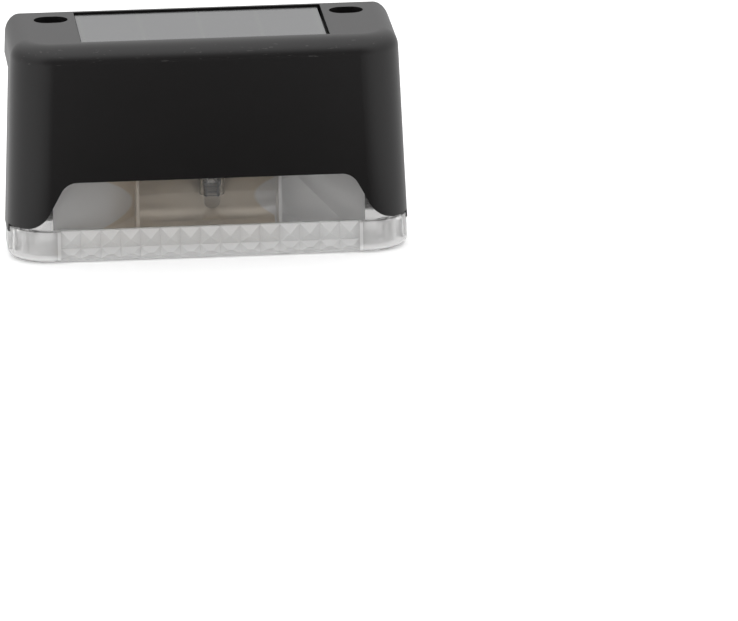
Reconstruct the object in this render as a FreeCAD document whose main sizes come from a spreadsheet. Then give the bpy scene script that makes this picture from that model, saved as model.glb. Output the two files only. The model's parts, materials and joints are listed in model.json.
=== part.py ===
import FreeCAD, Part
import math
import os
import re
import Sketcher

# A solar light for a fence rail or the edge of a step. A black housing holds a
# solar panel in its top, a slab at the rear sits on the rail, and a clear lens
# with a band of prisms closes the front window and the bottom.
# X runs to the right, Y to the back and Z up. The origin is the bottom centre.

SIZES = {
    # overall form, measured at the skirt (the housing's lower edge)
    "width": 121.0,
    "depth": 45.6,
    "height": 66.5,
    "skirt": 8.1,
    "side_draft": 2.3,
    "front_lean": 1.35,
    "body_depth": 23.0,
    "slab": 11.0,
    "corner_round": 12.5,
    "rear_corner": 4.0,
    "top_round": 5.5,
    "rear_round": 0.8,
    "wall": 1.8,
    "top_wall": 2.2,
    "fit_gap": 0.2,
    # window in the front wall
    "window_top": 24.9,
    "window_half": 43.0,
    "shoulder_half": 50.9,
    "shoulder": 10.5,
    "window_round": 5.5,
    "shoulder_round": 9.0,
    "shoulder_depth": 10.0,
    # panel, and its play in the recess
    "panel_width": 73.6,
    "panel_depth": 34.6,
    "side_play": 1.2,
    "end_play": 1.4,
    "recess_drop": 2.6,
    "recess_rear": 1.9,
    "recess_floor": 1.6,
    "panel_shift": 0.35,
    "tape_thick": 0.3,
    "substrate_thick": 0.9,
    "cell_thick": 0.2,
    "resin_thick": 0.6,
    "cell_gap": 1.0,
    "cell_margin": 1.6,
    "wire_hole": 4.0,
    # screw wells
    "well_spacing": 89.5,
    "well_rear": 9.8,
    "well_length": 10.3,
    "well_width": 7.7,
    "well_floor": 3.0,
    "well_wall": 1.6,
    "mount_hole": 4.5,
    # cover screws and bosses
    "boss_inset": 9.1,
    "boss_width": 6.0,
    "boss_clear": 1.2,
    "screw_width": 2.6,
    "screw_length": 8.0,
    "head_width": 5.0,
    "head_height": 1.5,
    "head_sink": 2.0,
    "cover_seat": 8.0,
    "seat_clear": 0.5,
    "seat_thick": 2.0,
    # lens
    "lens_inset": 0.3,
    "lens_wall": 1.4,
    "lens_floor": 2.0,
    "lens_round": 2.4,
    "pane_lap": 1.7,
    "rear_lip": 12.0,
    "band_top": 9.7,
    "prism_pitch": 6.0,
    "prism_count": 15,
    "prism_rise": 1.5,
    "prism_tip": 6.7,
    "row_split": 4.2,
    "lower_rise": 1.1,
    "lower_mid": 2.3,
    "lower_end": 0.9,
    "post_width": 6.4,
    "post_hole": 2.2,
    "post_top": 8.0,
    "post_side": 6.8,
    "post_front": 8.5,
    # reflector
    "mirror_thick": 1.2,
    "mirror_past": 4.0,
    "mirror_lap": 3.4,
    "mirror_gap": 1.0,
    "rib_half": 21.9,
    "rib_thick": 1.6,
    "bowl_clear": 1.5,
    "bowl_height": 15.2,
    "wing_step": 3.0,
    "wing_tip": 0.3,
    # LED and collar
    "led_width": 5.0,
    "led_flange": 5.8,
    "led_length": 8.6,
    "flange_thick": 1.0,
    "lead_pitch": 2.54,
    "lead_width": 0.5,
    "lead_head": 1.2,
    "lead_stub": 0.8,
    "led_tip": 12.5,
    "led_side": 1.4,
    "led_shift": 0.5,
    "collar_width": 7.6,
    "collar_bottom": 17.3,
    "collar_flange": 9.8,
    "collar_rim": 0.8,
    # circuit board
    "board_edge": 2.0,
    "board_clear": 3.6,
    "board_thick": 1.2,
    "board_lift": 3.2,
    "board_hole": 2.0,
    "lead_hole": 0.8,
    "board_hole_spacing": 37.0,
    "board_post": 4.4,
    "board_screw": 1.7,
    "board_screw_length": 3.6,
    "board_screw_head": 3.4,
    "board_screw_tall": 1.2,
    "chip_deep": 3.9,
    "chip_tall": 1.5,
    "leg_pitch": 1.27,
    "leg_width": 0.42,
    "leg_reach": 1.0,
    "coil_width": 5.0,
    "coil_tall": 5.2,
    "coil_groove": 0.7,
    "can_width": 4.0,
    "can_tall": 5.0,
    "can_edge": 0.4,
    # battery
    "cell_width": 10.5,
    "cell_length": 44.5,
    "cell_drop": 9.5,
    "cell_back": 9.2,
    "cell_edge": 0.9,
    "nub_width": 4.0,
    "nub_tall": 0.9,
    "saddle_gap": 0.15,
    "saddle_spacing": 28.0,
    "saddle_thick": 2.0,
    "tab_thick": 0.3,
    "tab_width": 5.2,
    "tab_tall": 7.0,
    "foam_width": 21.0,
    "foam_tall": 7.0,
    # switch
    "switch_side": 34.0,
    "switch_height": 41.0,
    "switch_width": 8.6,
    "switch_deep": 3.8,
    "switch_tall": 4.0,
    "switch_travel": 2.0,
    "switch_sink": 2.8,
    "switch_floor": 1.6,
    "ear_spacing": 13.5,
    "ear_thick": 0.6,
    "switch_margin": 1.8,
    "switch_recess_width": 9.6,
    "switch_recess_tall": 5.0,
    "ear_screw": 1.4,
    "ear_screw_length": 2.2,
    "ear_head": 2.6,
    "ear_head_tall": 0.9,
    "slider_width": 2.0,
    "slider_sink": 1.2,
    "slot_gap": 0.15,
    "base_width": 3.6,
    "base_tall": 2.6,
    "base_thick": 1.2,
    "pin_pitch": 2.5,
    "pin_width": 0.5,
    "pin_length": 2.2,
    # wires
    "wire_width": 1.3,
    "wire_pitch": 1.8,
    "wire_bend": 2.0,
    "wire_clear": 2.0,
}

doc = FreeCAD.newDocument("fence_light")
sheet = doc.addObject("Spreadsheet::Sheet", "sizes")
for row, (alias, size) in enumerate(SIZES.items(), start=1):
    sheet.set("A%d" % row, alias)
    sheet.set("B%d" % row, str(size))
    sheet.setAlias("B%d" % row, alias)
doc.recompute()

CHIP_LEGS = 4
CELL_STRIPS = 4
parts = []


# ---- helpers -------------------------------------------------------------------


def tied(formula):
    """Tie every size named in a formula to its cell of the sheet."""
    return re.sub(r"[a-z_]+", lambda word: "sizes." + word[0] if word[0] in SIZES else word[0],
                  str(formula))


def number(formula):
    """The present value of a formula."""
    return float(sheet.evalExpression(tied(formula).replace("sizes.", "")))


def bind(thing, **formulas):
    """Bind properties to formulas; x, y and z stand for the placement."""
    for key, formula in formulas.items():
        path = "Placement.Base." + key if key in ("x", "y", "z") else key
        thing.setExpression(path, tied(formula))


def box(name, x, y, z):
    """A block between pairs of formulas along each axis."""
    block = doc.addObject("Part::Box", name)
    bind(block, x=x[0], y=y[0], z=z[0])
    bind(block, Length="(%s) - (%s)" % (x[1], x[0]), Width="(%s) - (%s)" % (y[1], y[0]),
         Height="(%s) - (%s)" % (z[1], z[0]))
    return block


UPRIGHT = FreeCAD.Rotation(FreeCAD.Vector(1, 0, 0), 90)
HALF_TURN = FreeCAD.Rotation(FreeCAD.Vector(0, 0, 1), 180)
TURNS = {
    "z": FreeCAD.Rotation(),
    "y": FreeCAD.Rotation(FreeCAD.Vector(1, 0, 0), -90),
    "x": FreeCAD.Rotation(FreeCAD.Vector(0, 1, 0), 90),
}


def rod(name, axis, x, y, z, width, length):
    """A round bar from a point along the positive axis."""
    bar = doc.addObject("Part::Cylinder", name)
    bar.Placement = FreeCAD.Placement(FreeCAD.Vector(), TURNS[axis])
    bind(bar, x=x, y=y, z=z, Radius="(%s) / 2" % width, Height=length)
    return bar


def fuse(name, *pieces):
    joined = doc.addObject("Part::MultiFuse", name)
    joined.Shapes = list(pieces)
    return joined


def cut(name, base, *tools):
    tool = tools[0] if len(tools) == 1 else fuse(name + "_tools", *tools)
    result = doc.addObject("Part::Cut", name)
    result.Base = base
    result.Tool = tool
    return result


def common(name, *pieces):
    shared = doc.addObject("Part::MultiCommon", name)
    shared.Shapes = list(pieces)
    return shared


def group(name, *pieces):
    together = doc.addObject("Part::Compound", name)
    together.Links = list(pieces)
    return together


def part(node, thing):
    """Name a finished sub-part and keep it for the hand-over."""
    thing.Label = node
    parts.append(thing)
    return thing


def new_body(name):
    return doc.addObject("PartDesign::Body", name)


def new_sketch(body, name, plane, offset):
    """A sketch on one of the body's own planes, moved along its normal."""
    sketch = body.newObject("Sketcher::SketchObject", name)
    origin_plane = [f for f in body.Origin.OriginFeatures if f.Role == plane + "_Plane"][0]
    sketch.AttachmentSupport = [(origin_plane, "")]
    sketch.MapMode = "FlatFace"
    sketch.setExpression("AttachmentOffset.Base.z", tied(offset))
    return sketch


def hold(sketch, kind, name, formula, *where):
    """Add a dimension to a sketch and bind it."""
    index = sketch.addConstraint(Sketcher.Constraint(kind, *where, number(formula)))
    sketch.renameConstraint(index, name)
    sketch.setExpression("Constraints." + name, tied(formula))


def corner_arc(before, corner, after, radius):
    """Centre and both tangent points of the arc that rounds a corner."""
    back = (before - corner).normalize()
    ahead = (after - corner).normalize()
    half_turn = back.getAngle(ahead) / 2
    reach = radius / math.tan(half_turn)
    middle = corner + (back + ahead).normalize() * (radius / math.sin(half_turn))
    return middle, corner + back * reach, corner + ahead * reach


def arc_between(middle, start, end, radius):
    """The short arc from start to end, and whether it runs clockwise."""
    first = math.atan2(start.y - middle.y, start.x - middle.x)
    last = math.atan2(end.y - middle.y, end.x - middle.x)
    turn = (last - first) % (2 * math.pi)
    clockwise = turn > math.pi
    low, high = (last, first) if clockwise else (first, last)
    circle = Part.Circle(middle, FreeCAD.Vector(0, 0, 1), radius)
    return Part.ArcOfCircle(circle, low, high), clockwise


def outline(sketch, corners):
    """Draw a closed outline. Each corner is an x formula, a y formula and a radius or None."""
    spots = [FreeCAD.Vector(number(x), number(y), 0) for x, y, _ in corners]
    count = len(spots)
    starts, ends, arcs = [], [], []
    for i, (x, y, radius) in enumerate(corners):
        if radius is None:
            starts.append(spots[i])
            ends.append(spots[i])
            arcs.append(None)
            continue
        middle, arrive, leave = corner_arc(spots[i - 1], spots[i], spots[(i + 1) % count],
                                           number(radius))
        ends.append(arrive)
        starts.append(leave)
        arcs.append(arc_between(middle, arrive, leave, number(radius)))
    lines = []
    for i in range(count):
        segment = Part.LineSegment(starts[i], ends[(i + 1) % count])
        lines.append(sketch.addGeometry(segment, False))
    for i, (x, y, radius) in enumerate(corners):
        before, after = lines[i - 1], lines[i]
        if radius is None:
            sketch.addConstraint(Sketcher.Constraint("Coincident", before, 2, after, 1))
            hold(sketch, "DistanceX", "x%d" % i, x, -1, 1, after, 1)
            hold(sketch, "DistanceY", "y%d" % i, y, -1, 1, after, 1)
            continue
        arc, clockwise = arcs[i]
        bend = sketch.addGeometry(arc, False)
        first, last = (2, 1) if clockwise else (1, 2)
        sketch.addConstraint(Sketcher.Constraint("Tangent", before, 2, bend, first))
        sketch.addConstraint(Sketcher.Constraint("Tangent", bend, last, after, 1))
        vertex = sketch.addGeometry(Part.Point(spots[i]), True)
        sketch.addConstraint(Sketcher.Constraint("PointOnObject", vertex, 1, before))
        sketch.addConstraint(Sketcher.Constraint("PointOnObject", vertex, 1, after))
        hold(sketch, "DistanceX", "x%d" % i, x, -1, 1, vertex, 1)
        hold(sketch, "DistanceY", "y%d" % i, y, -1, 1, vertex, 1)
        hold(sketch, "Radius", "r%d" % i, radius, bend)


def pad(body, sketch, length, backwards=False):
    """Raise a sketch along its normal, or against it."""
    feature = body.newObject("PartDesign::Pad", sketch.Name + "_pad")
    feature.Profile = sketch
    feature.Reversed = backwards
    feature.setExpression("Length", tied(length))
    body.Tip = feature
    return feature


def upright(bounds):
    return bounds.ZLength > 3 * max(bounds.XLength, bounds.YLength, 0.3)


def round_edges(body, radius, chosen):
    """Round those edges of a body whose bounds pass a test."""
    doc.recompute()
    tip = body.Tip
    names = ["Edge%d" % index for index, edge in enumerate(tip.Shape.Edges, start=1)
             if chosen(edge.BoundBox)]
    feature = body.newObject("PartDesign::Fillet", body.Name + "_round")
    feature.Base = (tip, names)
    feature.setExpression("Radius", tied(radius))
    body.Tip = feature
    return feature


def slab_form(name, plane, offset, length, corners, backwards=False):
    """One outline raised from an offset plane, as a body of its own."""
    body = new_body(name)
    sketch = new_sketch(body, name + "_outline", plane, offset)
    outline(sketch, corners)
    pad(body, sketch, length, backwards)
    return body


def sharp(corners):
    """The corners of an outline that has no rounding."""
    return [(x, y, None) for x, y in corners]


def turned(name, corners, x, y, z, axis="z"):
    """A turned piece: half profile (radius, height) about an axis through a point."""
    body = new_body(name)
    sketch = new_sketch(body, name + "_profile", "XZ", "0")
    outline(sketch, corners)
    feature = body.newObject("PartDesign::Revolution", name + "_turn")
    feature.Profile = sketch
    feature.ReferenceAxis = (sketch, ["V_Axis"])
    feature.Angle = 360
    body.Tip = feature
    body.Placement = FreeCAD.Placement(FreeCAD.Vector(), TURNS[axis])
    bind(body, x=x, y=y, z=z)
    return body


# ---- the outer form --------------------------------------------------------------

REAR = "depth / 2"
BODY_REAR = "-depth / 2 + body_depth"
SLAB_UNDER = "height - slab"


def rise(z):
    """How far up the drafted sides a height lies, 0 at the skirt and 1 at the top."""
    return "((%s) - skirt) / (height - skirt)" % z


def half_width(z):
    return "(width / 2 - side_draft * %s)" % rise(z)


def front(z):
    return "(-depth / 2 + front_lean * %s)" % rise(z)


def drafted(name, low, high, inset, rear, rear_radius):
    """The drafted form between two heights, drawn in by an inset."""
    body = new_body(name)
    wedge = body.newObject("PartDesign::AdditiveWedge", name + "_wedge")
    wedge.Placement = FreeCAD.Placement(FreeCAD.Vector(), UPRIGHT)
    for mark, z in (("", low), ("2", high)):
        side = "%s - (%s)" % (half_width(z), inset)
        bind(wedge, **{"X%smin" % mark: "-(%s)" % side, "X%smax" % mark: side})
        bind(wedge, **{"Z%smin" % mark: "-(%s)" % rear,
                       "Z%smax" % mark: "-(%s) - (%s)" % (front(z), inset)})
    bind(wedge, Ymin=low, Ymax=high)
    body.Tip = wedge
    middle = "(%s + %s) / 2" % (front(low), rear)
    split = number(middle)
    round_edges(body, "corner_round - (%s)" % inset,
                lambda box: upright(box) and box.YMax < split)
    if rear_radius:
        round_edges(body, rear_radius, lambda box: upright(box) and box.YMin > split)
    return body


def pin_x(place):
    """Where a switch pin stands, counted from the middle one."""
    return "switch_side + (%d) * pin_pitch" % place


def full_round(width):
    """The radius of a full round end, short of half by a hair, so no side has zero length."""
    return "((%s) / 2 - 0.001)" % width


def around(middle, half):
    """A pair of formulas on both sides of a middle."""
    return ("(%s) - (%s)" % (middle, half), "(%s) + (%s)" % (middle, half))


def oval(x, y, length, width):
    """A slot-shaped outline along X, as a rectangle with full round ends."""
    left, right = around(x, "(%s) / 2" % length)
    near, far = around(y, "(%s) / 2" % width)
    radius = full_round(width)
    return [(left, near, radius), (right, near, radius), (right, far, radius), (left, far, radius)]


WELL_Y = "depth / 2 - well_rear"
WELLS = {"left": "-well_spacing / 2", "right": "well_spacing / 2"}
RECESS_WIDTH = "(panel_width + side_play)"
RECESS_DEPTH = "(panel_depth + end_play)"
PANE_TOP = "(window_top + pane_lap)"
MIRROR_TOP = "(window_top + mirror_lap)"
MIRROR_HALF = "(window_half + mirror_past)"
BOSS_X = "(%s - boss_inset)" % half_width("height")
BOSS_LOW = "%s + boss_width / 2 + boss_clear" % MIRROR_TOP
BOSS_HIGH = "%s - cover_seat / 2 - seat_clear" % SLAB_UNDER
SCREWS = {
    "low_left": ("-" + BOSS_X, BOSS_LOW),
    "low_right": (BOSS_X, BOSS_LOW),
    "high_left": ("-" + BOSS_X, BOSS_HIGH),
    "high_right": (BOSS_X, BOSS_HIGH),
}
EARS = {"left": "switch_side - ear_spacing / 2", "right": "switch_side + ear_spacing / 2"}
PLATE_FACE = "%s - wall" % BODY_REAR
SEAT_FACE = "%s - wall - seat_thick" % BODY_REAR
SWITCH_FACE = "%s - switch_sink - switch_floor" % BODY_REAR
PIN_END = "%s - switch_deep - pin_length" % SWITCH_FACE
WIRE_Y = "%s - wire_clear" % PLATE_FACE
CELL_Y = "%s - cell_back" % PLATE_FACE
CELL_Z = "(%s - cell_drop)" % SLAB_UNDER
LED_Y = "-depth / 2 + body_depth / 2 + led_shift"
RECESS_FRONT = "%s - recess_rear - %s" % (REAR, RECESS_DEPTH)
PRISM_BASE = "%s + lens_inset + prism_rise" % front("0")
POST_X = "%s - post_side" % half_width("0")
POST_Y = "%s + post_front" % front("0")
MIRROR_FACE = "-depth / 2 + wall + fit_gap + lens_wall + mirror_gap"
LIP_FACE = "%s - wall - fit_gap - lens_wall" % BODY_REAR
BOWL_BACK = "%s - bowl_clear - mirror_thick" % LIP_FACE
WING_BACK = "%s - wing_step" % BOWL_BACK
BOWL_DEEP = "((%s) - (%s))" % (BOWL_BACK, MIRROR_FACE)
BOWL_HALF = "(rib_half - rib_thick)"
BOWL_RADIUS = "(%s ^ 2 + %s ^ 2) / (2 * %s)" % (BOWL_HALF, BOWL_DEEP, BOWL_DEEP)
BOARD_HALF = "(switch_side + board_edge)"
BOARD_DEEP = "(body_depth - 2 * board_clear)"
BOARD_UNDER = "%s + board_lift" % MIRROR_TOP
BOARD_TOP = "%s + board_thick" % BOARD_UNDER


# ---- housing ---------------------------------------------------------------------


def outer_form():
    """Wide rounding at the front and sides, a small one along the rear and its corners."""
    top = number("height") - 0.01
    long_form = drafted("long_form", "skirt", "height", "0", "depth", None)
    round_edges(long_form, "top_round",
                lambda box: box.ZMin > top and box.YMin < number(REAR))
    true_form = drafted("true_form", "skirt", "height", "0", REAR, "rear_corner")
    round_edges(true_form, "rear_round", lambda box: box.ZMin > top)
    return common("housing_outer", long_form, true_form)


def window_outline():
    """The window: a flat top with rounded corners that run out into low shoulders."""
    right = [("width", "skirt - 2", None), ("width", "shoulder", None),
             ("shoulder_half", "shoulder", "shoulder_round"),
             ("window_half", "window_top", "window_round")]
    left = [("-(%s)" % x, z, radius) for x, z, radius in reversed(right)]
    return right + left


def make_housing():
    outer = outer_form()
    under_slab = box("under_slab", ("-width", "width"), (BODY_REAR, "depth"),
                     ("skirt - 1", SLAB_UNDER))
    hollow = drafted("housing_hollow", "skirt - 1", "height - top_wall", "wall",
                     "depth / 2 - wall", "rear_corner - wall")
    bare = cut("housing_bare", outer, under_slab, hollow)
    fittings = [box("recess_tray", around("0", "%s / 2 + wall" % RECESS_WIDTH),
                    ("%s - wall" % RECESS_FRONT, REAR),
                    ("height - recess_drop - recess_floor", "height"))]
    for side, x in WELLS.items():
        wide = "well_length + 2 * well_wall"
        deep = "well_width + 2 * well_wall"
        fittings.append(slab_form("column_" + side, "XY", SLAB_UNDER, "slab",
                                  oval(x, WELL_Y, wide, deep)))
    for place, (x, z) in SCREWS.items():
        fittings.append(rod("boss_" + place, "y", x, "-depth / 2", z, "boss_width",
                            "(%s) + depth / 2" % SEAT_FACE))
    inner = common("housing_inner", outer, fuse("housing_fittings", *fittings))
    solid = fuse("housing_solid", bare, inner)
    holes = [slab_form("window_cut", "XZ", "-(-depth / 2 + shoulder_depth)", "2 * shoulder_depth",
                       window_outline())]
    holes.append(box("panel_recess", around("0", "%s / 2" % RECESS_WIDTH),
                     (RECESS_FRONT, "%s - recess_rear" % REAR),
                     ("height - recess_drop", "height + 1")))
    holes.append(rod("panel_wire_hole", "z", "0", WIRE_Y, "height - slab", "wire_hole", "slab"))
    for side, x in WELLS.items():
        holes.append(slab_form("well_" + side, "XY", "height - slab + well_floor", "slab",
                               oval(x, WELL_Y, "well_length", "well_width")))
        holes.append(rod("mount_hole_" + side, "z", x, WELL_Y, "height - slab - 1", "mount_hole",
                         "slab"))
    for place, (x, z) in SCREWS.items():
        holes.append(rod("pilot_" + place, "y", x, "%s - screw_length" % SEAT_FACE, z,
                         "screw_width", "screw_length + 1"))
    part("housing", cut("housing_whole", solid, *holes))


# ---- rear cover ------------------------------------------------------------------


def back_plate_outline():
    low, high = "skirt + fit_gap", SLAB_UNDER + " + wall"
    low_side = "%s - wall - fit_gap" % half_width(low)
    high_side = "%s - wall - fit_gap" % half_width(high)
    return [("-(%s)" % low_side, low, None), (low_side, low, None),
            (high_side, high, None), ("-(%s)" % high_side, high, None)]


def roof_plate_outline():
    side = "%s - wall - fit_gap" % half_width(SLAB_UNDER + " + wall")
    rear = "%s - wall - fit_gap" % REAR
    radius = "rear_corner - wall - fit_gap"
    return [("-(%s)" % side, PLATE_FACE, None), (side, PLATE_FACE, None),
            (side, rear, radius), ("-(%s)" % side, rear, radius)]


def make_rear_cover():
    solids = [slab_form("back_plate", "XZ", "-(%s)" % BODY_REAR, "wall", back_plate_outline()),
              slab_form("roof_plate", "XY", SLAB_UNDER, "wall", roof_plate_outline()),
              box("switch_block", around("switch_side", "ear_spacing / 2 + switch_margin"),
                  (SWITCH_FACE, PLATE_FACE),
                  around("switch_height", "switch_tall / 2 + switch_margin"))]
    for place, (x, z) in SCREWS.items():
        solids.append(rod("seat_" + place, "y", x, SEAT_FACE, z, "cover_seat",
                          "seat_thick + wall / 2"))
    for side, x in (("left", "-saddle_spacing / 2"), ("right", "saddle_spacing / 2")):
        solids.append(box("saddle_" + side, around(x, "saddle_thick / 2"), (CELL_Y, PLATE_FACE),
                          around(CELL_Z, "cell_width / 2 + saddle_thick")))
    holes = [rod("cell_clearance", "x", "-width / 2", CELL_Y, CELL_Z,
                 "cell_width + 2 * saddle_gap", "width"),
             box("switch_recess", around("switch_side", "switch_recess_width / 2"),
                 ("%s - switch_sink" % BODY_REAR, "depth"),
                 around("switch_height", "switch_recess_tall / 2")),
             box("switch_slot",
                 around("switch_side", "(slider_width + switch_travel) / 2 + slot_gap"),
                 ("%s - 1" % SWITCH_FACE, BODY_REAR),
                 around("switch_height", "slider_width / 2 + slot_gap"))]
    for side, x in WELLS.items():
        holes.append(slab_form("column_gap_" + side, "XY", "height - slab - 1", "slab",
                               oval(x, WELL_Y, "well_length + 2 * (well_wall + fit_gap)",
                                    "well_width + 2 * (well_wall + fit_gap)")))
    for place, (x, z) in SCREWS.items():
        holes.append(rod("sink_" + place, "y", x, "%s - head_sink" % BODY_REAR, z,
                         "head_width + 2 * fit_gap", "depth"))
        holes.append(rod("clear_" + place, "y", x, "%s - 1" % SEAT_FACE, z,
                         "screw_width + 2 * fit_gap", "depth"))
    for side, x in EARS.items():
        holes.append(rod("ear_pilot_" + side, "y", x, "%s - 1" % SWITCH_FACE, "switch_height",
                         "ear_screw", "ear_screw_length + 1"))
    part("rear_cover", cut("rear_cover_whole", fuse("rear_cover_solid", *solids), *holes))


def screw(name, x, y, z, axis, sizes, head_first):
    """A screw from its lowest point along an axis, its head bevelled by half its height."""
    width, length, head, tall = sizes
    shank, cap, bevel = "(%s) / 2" % width, "(%s) / 2" % head, "(%s) / 2" % tall
    total = "(%s) + (%s)" % (length, tall)
    if head_first:
        profile = [("0", "0"), ("%s - %s" % (cap, bevel), "0"), (cap, bevel), (cap, tall),
                   (shank, tall), (shank, total), ("0", total)]
    else:
        profile = [("0", "0"), (shank, "0"), (shank, length), (cap, length),
                   (cap, "%s - %s" % (total, bevel)), ("%s - %s" % (cap, bevel), total),
                   ("0", total)]
    return turned(name, sharp(profile), x, y, z, axis)


def make_cover_screws():
    sizes = ("screw_width", "screw_length", "head_width", "head_height")
    tip = "%s - head_sink - screw_length" % BODY_REAR
    screws = [screw("cover_screw_" + place, x, tip, z, "y", sizes, False)
              for place, (x, z) in SCREWS.items()]
    part("cover_screws", group("cover_screw_group", *screws))


# ---- lens ------------------------------------------------------------------------


def prism_teeth():
    """Two rows of pyramids: a zigzag in plan, crossed with two roofs in the side view."""
    sink = "(%s) + lens_wall / 4" % PRISM_BASE
    tip = "(%s) - prism_rise" % PRISM_BASE
    first = "-(prism_count - 1) * prism_pitch / 2"
    near, far = around(first, "prism_pitch / 2")
    zigzag = slab_form("prism_zigzag", "XY", "0", "band_top", sharp([
        (near, sink), (near, PRISM_BASE), (first, tip), (far, PRISM_BASE), (far, sink)]))
    doc.recompute()
    row = zigzag.newObject("PartDesign::LinearPattern", "prism_row")
    row.Originals = [zigzag.Tip]
    row.Direction = (zigzag.Group[0], ["H_Axis"])
    row.setExpression("Length", tied("(prism_count - 1) * prism_pitch"))
    row.setExpression("Occurrences", tied("prism_count"))
    zigzag.Tip = row
    roofs = slab_form("prism_roofs", "YZ", "-width / 2", "width", sharp([
        (sink, "lower_end"), (PRISM_BASE, "lower_end"),
        ("(%s) - lower_rise" % PRISM_BASE, "lower_mid"), (PRISM_BASE, "row_split"),
        (tip, "prism_tip"), (PRISM_BASE, "band_top"), (sink, "band_top")]))
    return common("prism_teeth", zigzag, roofs)


def make_lens():
    tray = drafted("lens_tray", "0", "band_top", "lens_inset", BODY_REAR, None)
    low = 0.01
    behind = number(BODY_REAR) - low
    round_edges(tray, "lens_round", lambda box: box.ZMax < low and box.YMin < behind)
    skirt_rear = "%s - wall - fit_gap" % BODY_REAR
    skirt = drafted("lens_skirt", "lens_floor", PANE_TOP, "wall + fit_gap", skirt_rear, None)
    room = drafted("lens_room", "lens_floor", "%s + 1" % PANE_TOP, "wall + fit_gap + lens_wall",
                   LIP_FACE, None)
    trim = ("-depth / 2 + shoulder_depth - fit_gap", "depth")
    wide = ("-width", "width")
    tray_form = cut("lens_band", tray, box("band_trim", wide, trim, ("skirt - fit_gap", "height")))
    skirt_form = cut("lens_upper", skirt, box("skirt_trim", wide, trim, ("rear_lip", "height")))
    shell = cut("lens_shell", fuse("lens_outer", tray_form, skirt_form), room,
                box("prism_seat", around("0", "prism_count * prism_pitch / 2"),
                    ("-depth", PRISM_BASE), ("-1", "band_top + 1")))
    posts, bores = [], []
    for side, x in (("left", "-(%s)" % POST_X), ("right", POST_X)):
        posts.append(rod("post_" + side, "z", x, POST_Y, "lens_floor / 2", "post_width",
                         "post_top - lens_floor / 2"))
        bores.append(rod("post_bore_" + side, "z", x, POST_Y, "lens_floor", "post_hole", "post_top"))
    part("lens", cut("lens_whole", fuse("lens_solid", shell, prism_teeth(), *posts), *bores))


# ---- reflector ---------------------------------------------------------------------


def wing_outline(side):
    """Plan of one slanting wing, from its rib out to the corner of the lens."""
    inner, outer = "%s (rib_half - rib_thick / 2)" % side, "%s %s" % (side, MIRROR_HALF)
    points = [(inner, WING_BACK), (outer, "%s + wing_tip" % MIRROR_FACE),
              (outer, "%s + wing_tip + mirror_thick" % MIRROR_FACE),
              (inner, "%s + mirror_thick" % WING_BACK)]
    return sharp(points if side == "+" else points[::-1])


def mirror_top_outline():
    right = [(MIRROR_HALF, MIRROR_FACE), (MIRROR_HALF, "%s + wing_tip + mirror_thick" % MIRROR_FACE),
             ("rib_half", "%s + mirror_thick" % WING_BACK), ("rib_half", BOWL_BACK)]
    left = [("-(%s)" % x, y) for x, y in reversed(right)]
    return sharp(right + left)


def make_reflector():
    full = ("lens_floor", MIRROR_TOP)
    balls = []
    for name, extra in (("bowl_outside", " + mirror_thick"), ("bowl_inside", "")):
        ball = doc.addObject("Part::Sphere", name)
        bind(ball, Radius=BOWL_RADIUS + extra, x="0", y="%s - %s" % (BOWL_BACK, BOWL_RADIUS),
             z="bowl_height")
        balls.append(ball)
    bowl = common("bowl", cut("bowl_shell", *balls),
                  box("bowl_limits", around("0", "rib_half"), (MIRROR_FACE, "depth"), full))
    pieces = [bowl, slab_form("mirror_roof", "XY", "%s - mirror_thick" % MIRROR_TOP, "mirror_thick",
                              mirror_top_outline())]
    holes = [rod("collar_hole", "z", "led_side", LED_Y, "collar_bottom",
                 "collar_width + 2 * fit_gap", "%s - collar_bottom + 1" % MIRROR_TOP)]
    for name, side in (("left", "-"), ("right", "+")):
        pieces.append(box("rib_" + name, around("%s (rib_half - rib_thick / 2)" % side, "rib_thick / 2"),
                          (MIRROR_FACE, "%s + mirror_thick" % WING_BACK), full))
        pieces.append(slab_form("wing_" + name, "XY", "lens_floor", "%s - lens_floor" % MIRROR_TOP,
                                wing_outline(side)))
        x = "%s board_hole_spacing / 2" % side
        pieces.append(rod("board_post_" + name, "z", x, LED_Y, "%s - mirror_thick / 2" % MIRROR_TOP,
                          "board_post", "board_lift + mirror_thick / 2"))
        holes.append(rod("board_pilot_" + name, "z", x, LED_Y,
                         "%s - board_screw_length" % BOARD_UNDER, "board_screw",
                         "board_screw_length + 1"))
    part("reflector", cut("reflector_whole", fuse("reflector_solid", *pieces), *holes))


# ---- LED and board -----------------------------------------------------------------


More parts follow.
